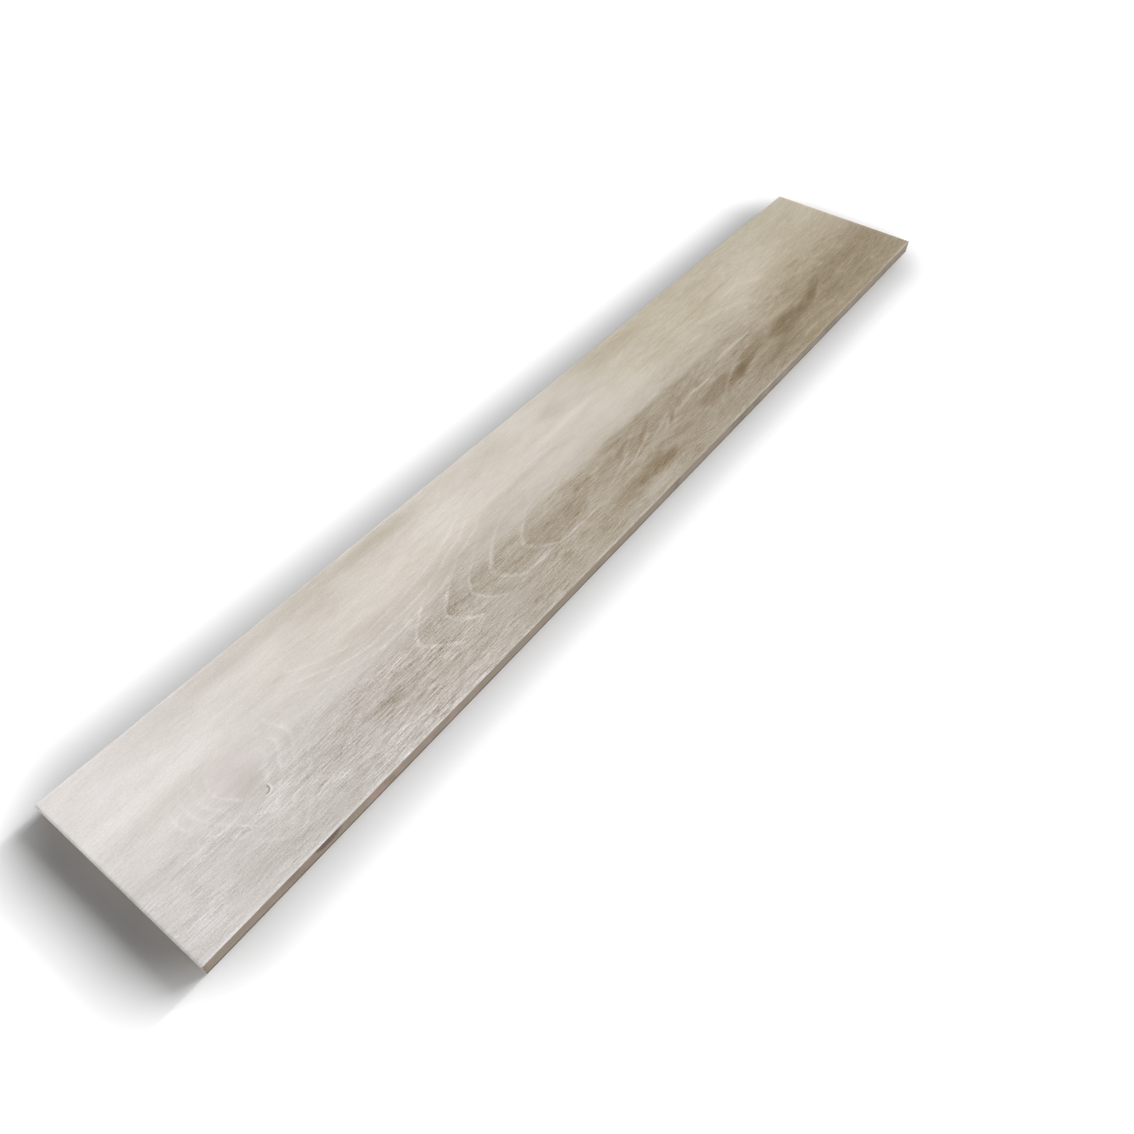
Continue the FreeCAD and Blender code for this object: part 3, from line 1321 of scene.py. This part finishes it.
    @staticmethod
    def _close_facet(bm: BMesh, rim: list[Edge]) -> None:
        """Closes a facet, whose rim is open at its foot.

        Args:
            bm: the slab.
            rim: edges round the facet.
        """
        counts: dict[Vert, int] = {}
        for edge in rim:
            for vert in edge.verts:
                counts[vert] = counts.get(vert, 0) + 1
        ends = [vert for vert, count in counts.items() if count == 1]
        foot = [bm.edges.new(ends)] if len(ends) == 2 else []
        bmesh.ops.contextual_create(bm, geom=rim + foot)

    def _pocket_lines(self, span: float) -> list[float]:
        """Places of the pockets' walls along one direction, with the outer line on each side.

        Args:
            span: size of the plank in that direction.

        Returns:
            The places, in order.
        """
        room = span - 2.0 * self.back_border
        pitch_target = self.pocket_target + self.rib_width
        count = max(1, round((room + self.rib_width) / pitch_target))
        pitch = (room + self.rib_width) / count
        half_pocket = (pitch - self.rib_width) * HALF
        outer = span * HALF - self.plate_margin
        lines = [-outer]
        for index in range(count):
            middle = (index - (count - 1) * HALF) * pitch
            lines += [middle - half_pocket, middle + half_pocket]
        return lines + [outer]

    def _key_back(self, bm: BMesh) -> None:
        """Makes the back: a plate of ribs and pockets, joined to the slab's foot.

        Args:
            bm: the slab.
        """
        rim = [edge for edge in bm.edges if edge.is_boundary]
        along = self._pocket_lines(self.length)
        across = self._pocket_lines(self.width)
        start = bmesh.ops.create_vert(bm, co=(along[0], across[0], 0.0))["vert"]
        strip = self._swept(bm, start, across, Vector((0.0, 1.0, 0.0)))
        plate = self._swept(bm, strip, along, Vector((1.0, 0.0, 0.0)))
        faces = once(face for vert in plate for face in vert.link_faces)
        edges = once(edge for face in faces for edge in face.edges)
        outer = [edge for edge in edges if edge.is_boundary]
        bmesh.ops.triangle_fill(bm, use_beauty=True, use_dissolve=False, edges=rim + outer)
        pockets = [face for face in faces if self._is_pocket(face, along, across)]
        corners = once(vert for face in pockets for vert in face.verts)
        self._sink_pockets(bm, corners, along, across)

    @staticmethod
    def _swept(
        bm: BMesh, start: list[Vert], lines: list[float], way: Vector
    ) -> list[Vert]:
        """Extrudes a point or a strip from line to line.

        Args:
            bm: where it is made.
            start: vertices on the first line, with any edges between them.
            lines: places to extrude to, in order.
            way: direction to extrude in.

        Returns:
            All vertices of the result.
        """
        found = list(start)
        level = list(start)
        for before, after in zip(lines, lines[1:]):
            touching = once(edge for vert in level for edge in vert.link_edges)
            edges = [edge for edge in touching if set(edge.verts) <= set(level)]
            if edges:
                made = bmesh.ops.extrude_edge_only(bm, edges=edges)["geom"]
            else:
                made = bmesh.ops.extrude_vert_indiv(bm, verts=level)["verts"]
            level = [item for item in made if isinstance(item, Vert)]
            bmesh.ops.translate(bm, vec=way * (after - before), verts=level)
            found += level
        return found

    @staticmethod
    def _cell(value: float, lines: list[float]) -> int:
        """Number of the cell between two lines that a value falls in."""
        return sum(value > line for line in lines) - 1

    def _is_pocket(self, face: Face, along: list[float], across: list[float]) -> bool:
        """Whether a face of the plate is the mouth of a pocket."""
        middle = face.calc_center_median()
        return self._cell(middle.x, along) % 2 == 1 and self._cell(middle.y, across) % 2 == 1

    def _sink_pockets(
        self, bm: BMesh, corners: list[Vert], along: list[float], across: list[float]
    ) -> None:
        """Rounds the pockets' corners and pushes the pockets up into the slab.

        Args:
            bm: the slab.
            corners: corners of the pockets' mouths.
            along: walls' places along the plank.
            across: walls' places across it.
        """
        bmesh.ops.bevel(
            bm, geom=corners, offset=self.pocket_corner, offset_type="OFFSET", affect="VERTICES",
            segments=self.pocket_corner_steps, profile=HALF, material=-1, clamp_overlap=True,
        )
        smallest = self.pocket_target * self.pocket_target * HALF
        mouths = [
            face for face in bm.faces
            if abs(face.calc_center_median().z) < self.same_level
            and face.calc_area() > smallest
            and self._is_pocket(face, along, across)
        ]
        bmesh.ops.inset_individual(
            bm, faces=mouths, thickness=self.pocket_lean, depth=0.0, use_even_offset=True,
        )
        floors = once(vert for face in mouths for vert in face.verts)
        bmesh.ops.translate(bm, vec=(0.0, 0.0, self.pocket_depth), verts=floors)

    def _sort_faces(self, bm: BMesh) -> None:
        """Gives each face its zone, and marks the edges that stay sharp.

        Args:
            bm: the slab.
        """
        for face in bm.faces:
            height = face.calc_center_median().z
            if height > self.shoulder and face.normal.z > self.face_tilt:
                face.material_index = Zone.FACE
            elif height > self.pocket_depth and abs(face.normal.z) < HALF:
                face.material_index = Zone.SIDE
            else:
                face.material_index = Zone.BACK
            face.smooth = True
        for edge in bm.edges:
            edge.smooth = edge.calc_face_angle(0.0) < self.sharp_angle

    def _lay_map(self, bm: BMesh) -> None:
        """Lays the plank out flat, with most of the room for the face.

        Args:
            bm: the slab.
        """
        layer = bm.loops.layers.uv.new(BAKE_MAP)
        for face in bm.faces:
            for loop in face.loops:
                loop[layer].uv = self._map_place(face, loop.vert.co)

    def _map_place(self, face: Face, place: Vector) -> Pair:
        """Place of one corner of a face on the map.

        Args:
            face: the face.
            place: its corner.

        Returns:
            Its u and v.
        """
        along = place.x / self.length + HALF
        across = place.y / self.width + HALF
        up = place.z / self.thickness
        if face.material_index != Zone.SIDE:
            band = self.face_band if face.material_index == Zone.FACE else self.back_band
            return along, self._between(band, across)
        normal = face.normal
        if abs(normal.y) > abs(normal.x):
            return along, self._between(self.right_band if normal.y < 0.0 else self.left_band, up)
        run = self.near_run if normal.x < 0.0 else self.far_run
        return self._between(run, across), self._between(self.end_band, up)

    @staticmethod
    def _between(band: Pair, share: float) -> float:
        """Value at this share of the way through a band."""
        return band[0] + (band[1] - band[0]) * share

    def _edge_distance(self, x: Values, y: Values) -> Values:
        """How far in from the nearest edge of the plank these places are."""
        return np.minimum(self.length * HALF - np.abs(x), self.width * HALF - np.abs(y))

    def _press_grain(self, mesh: bpy.types.Mesh) -> None:
        """Keeps the figure on the vertices, and presses its relief into the face.

        Args:
            mesh: the plank, in metres.
        """
        points = np.empty(len(mesh.vertices) * 3, np.float32)
        mesh.vertices.foreach_get("co", points)
        points = points.reshape(-1, 3).astype(float)
        x, y, z = (points / MM).T
        figure = self.figure
        flow = figure.flow(x, y)
        eye, eye_reach = figure.eye(x, y)
        arch, arch_reach = figure.arch(x, y)
        valley, valley_reach = figure.valley(x, y)
        layers = {
            Layer.TONE: figure.tone(x, y),
            Layer.HUE: figure.hue(x, y),
            Layer.FLOW: flow,
            Layer.GROOVE: figure.groove(x, flow),
            Layer.FIBRE: figure.fibre_share(x, y),
            Layer.BLUSH: figure.blush(x, y),
            # Share of the rolled rim, where the print is lightened as thinner print and painted edge
            # highlight
            Layer.RIM: eased(self._edge_distance(x, y), self.rim_width, self.rim_width * self.rim_core),
            Layer.EYE: eye,
            Layer.EYE_REACH: eye_reach,
            Layer.ARCH: arch,
            Layer.ARCH_REACH: arch_reach,
            Layer.VALLEY: valley,
            Layer.VALLEY_REACH: valley_reach,
        }
        for layer, values in layers.items():
            kept = mesh.attributes.new(layer.value, "FLOAT", "POINT")
            kept.data.foreach_set("value", values.astype(np.float32))
        ridges = sum(
            np.cos(ring * FULL_TURN) * reach
            for ring, reach in ((eye, eye_reach), (arch, arch_reach), (valley, valley_reach))
        )
        press = self.groove_depth * layers[Layer.GROOVE] * (HALF + HALF * layers[Layer.FIBRE])
        press = press + self.swell_depth * (HALF + self.swell.at(x, y))
        press = press + self.vein_depth * (1.0 - np.clip(ridges, -1.0, 1.0))
        press = press * np.clip((z - self.shoulder) / self.pillow_drop, 0.0, 1.0)
        points[:, 2] -= press * MM
        mesh.vertices.foreach_set("co", points.astype(np.float32).ravel())
        mesh.update()


@dataclass
class Studio:
    """White floor, soft light and the camera."""

    floor_size: float = 24.0
    floor_colour: Colour = (252, 252, 252)
    # Grey that the floor shows where it is seen, so that the painted shadow round the plank shows against
    # the glow
    seen_colour: Colour = (200, 200, 200)
    # Glow where the floor is seen: low in a box round the plank's footprint, set a little towards the
    # near end and the left side, and rising past it, which paints a soft shadow all round the plank
    glow_near: float = 0.06
    glow_far: float = 0.66
    glow_reach: Pair = (0.045, 0.099)
    painted_shadow_centre: Triple = (-0.007, 0.006, 0.0)
    painted_shadow_half: Triple = (0.405, 0.03, 0.0)
    sky: float = 0.13
    sun_strength: float = 5.6
    sun_from: Triple = (0.93, -0.16, 0.33)
    sun_angle: float = math.radians(38.0)
    spot_place: Triple = (3.5, -0.15, 0.9)
    spot_aim: Triple = (-0.95, 0.05, 0.0)
    spot_cone: float = math.radians(8.0)
    spot_power: float = 1250.0
    spot_width: float = 0.18
    spot_colour: Colour = (250, 251, 255)
    strip_place: Triple = (-1.45, 0.1, 0.022)
    strip_aim: Triple = (-0.45, 0.0, 0.0)
    strip_size: Pair = (0.9, 0.03)
    strip_power: float = 11.0
    camera_place: Triple = (-0.4625, -0.3146, 0.5142)
    camera_aim: Triple = (0.5243, 0.3838, -0.7601)
    camera_roll: float = math.radians(1.02)
    camera_clip: float = 0.01
    lens: float = 29.433
    sensor: float = 36.0

    def build(self) -> None:
        """Sets up the whole studio."""
        bpy.context.scene.view_settings.view_transform = "Standard"
        self._floor()
        self._world()
        self._lights()
        self._camera()

    @staticmethod
    def _seen(bench: NodeBench) -> Socket:
        """Which rays show the floor or the background itself: in view, in gloss or passed through.

        Args:
            bench: where the nodes go.

        Returns:
            1 for those rays, and 0 for the others.
        """
        path = bench.add("LightPath").outputs
        seen = bench.work("MAXIMUM", path["Is Camera Ray"], path["Is Glossy Ray"])
        return bench.work("MAXIMUM", seen, path["Is Transmission Ray"])

    def _floor(self) -> None:
        """White floor, which keeps the shadow and carries a painted soft shadow round the plank."""
        bm = bmesh.new()
        bmesh.ops.create_grid(bm, x_segments=1, y_segments=1, size=self.floor_size * HALF)
        mesh = bpy.data.meshes.new("floor")
        bm.to_mesh(mesh)
        bm.free()
        mesh.materials.append(self._floor_material())
        floor = bpy.data.objects.new("floor", mesh)
        bpy.context.scene.collection.objects.link(floor)

    def _floor_material(self) -> Material:
        """Matt white, grey where it is seen, that glows where it is seen and less close to the plank,
        which paints a soft shadow round it.

        Returns:
            The material.
        """
        material = bpy.data.materials.new("white_floor")
        material.use_nodes = True
        tree = material.node_tree
        tree.nodes.remove(tree.nodes["Principled BSDF"])
        bench = NodeBench(tree)
        seen = self._seen(bench)
        colour = bench.blend(seen, linear(self.floor_colour), linear(self.seen_colour))
        matt = bench.add("BsdfDiffuse", {"Color": colour}).outputs[0]
        # Distance from the box round the plank's footprint: the glow stays low inside it, which paints
        # the soft shadow
        spread = bench.vector("ABSOLUTE", bench.vector("SUBTRACT", bench.place(), self.painted_shadow_centre))
        past = bench.vector("MAXIMUM", bench.vector("SUBTRACT", spread, self.painted_shadow_half))
        level = bench.rise(bench.length(past), *self.glow_reach, self.glow_near, self.glow_far)
        glow = bench.add("Emission", {"Strength": bench.work("MULTIPLY", seen, level)}).outputs[0]
        both = bench.add("AddShader", {0: matt, 1: glow}).outputs[0]
        bench.feed(tree.nodes["Material Output"].inputs["Surface"], both)
        return material

    def _world(self) -> None:
        """Even soft light from all round, white where it is seen."""
        world = bpy.data.worlds.new("studio")
        world.use_nodes = True
        bench = NodeBench(world.node_tree)
        background = world.node_tree.nodes["Background"]
        level = bench.rise(self._seen(bench), 0.0, 1.0, self.sky, 1.0)
        bench.feed(background.inputs["Strength"], level)
        background.inputs["Color"].default_value = (1.0, 1.0, 1.0, 1.0)
        bpy.context.scene.world = world

    def _lights(self) -> None:
        """Low broad light along the plank, a spot on its near end and a strip for its front edge."""
        sun = bpy.data.lights.new("low_light", "SUN")
        sun.energy = self.sun_strength
        sun.angle = self.sun_angle
        self._place_light(sun, Vector(self.sun_from), Vector())
        spot = bpy.data.lights.new("near_end_spot", "SPOT")
        spot.energy = self.spot_power
        spot.spot_size = self.spot_cone
        spot.spot_blend = 1.0
        spot.shadow_soft_size = self.spot_width
        spot.color = linear(self.spot_colour)[:3]
        self._place_light(spot, Vector(self.spot_place), Vector(self.spot_aim))
        strip = bpy.data.lights.new("front_strip", "AREA")
        strip.shape = "RECTANGLE"
        strip.size, strip.size_y = self.strip_size
        strip.energy = self.strip_power
        self._place_light(strip, Vector(self.strip_place), Vector(self.strip_aim))

    @staticmethod
    def _place_light(light: bpy.types.Light, place: Vector, aim: Vector) -> None:
        """Puts a light in place.

        Args:
            light: the light.
            place: where it stands.
            aim: what it faces.
        """
        holder = bpy.data.objects.new(light.name, light)
        holder.location = place
        holder.rotation_euler = (aim - place).to_track_quat("-Z", "Y").to_euler()
        bpy.context.scene.collection.objects.link(holder)

    def _camera(self) -> None:
        """Camera at the photograph's place."""
        data = bpy.data.cameras.new("camera")
        data.lens = self.lens
        data.sensor_width = self.sensor
        data.clip_start = self.camera_clip
        camera = bpy.data.objects.new("camera", data)
        turn = Vector(self.camera_aim).to_track_quat("-Z", "Y").to_matrix().to_4x4()
        roll = Matrix.Rotation(self.camera_roll, 4, "Z")
        camera.matrix_world = Matrix.Translation(self.camera_place) @ turn @ roll
        bpy.context.scene.collection.objects.link(camera)
        bpy.context.scene.camera = camera


def main() -> None:
    """Builds the studio and the plank, and reports each piece."""
    logging.basicConfig(level=logging.INFO, format="%(name)s: %(message)s")
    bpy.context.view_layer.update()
    Studio().build()
    log.info("studio: floor, world, three lights and the camera")
    piece = PlankTile().build(SharedEffects())
    triangles = sum(len(face.vertices) - 2 for face in piece.data.polygons)
    log.info("%s: %d vertices, %d triangles", piece.name, len(piece.data.vertices), triangles)


if __name__ == "__main__":
    main()
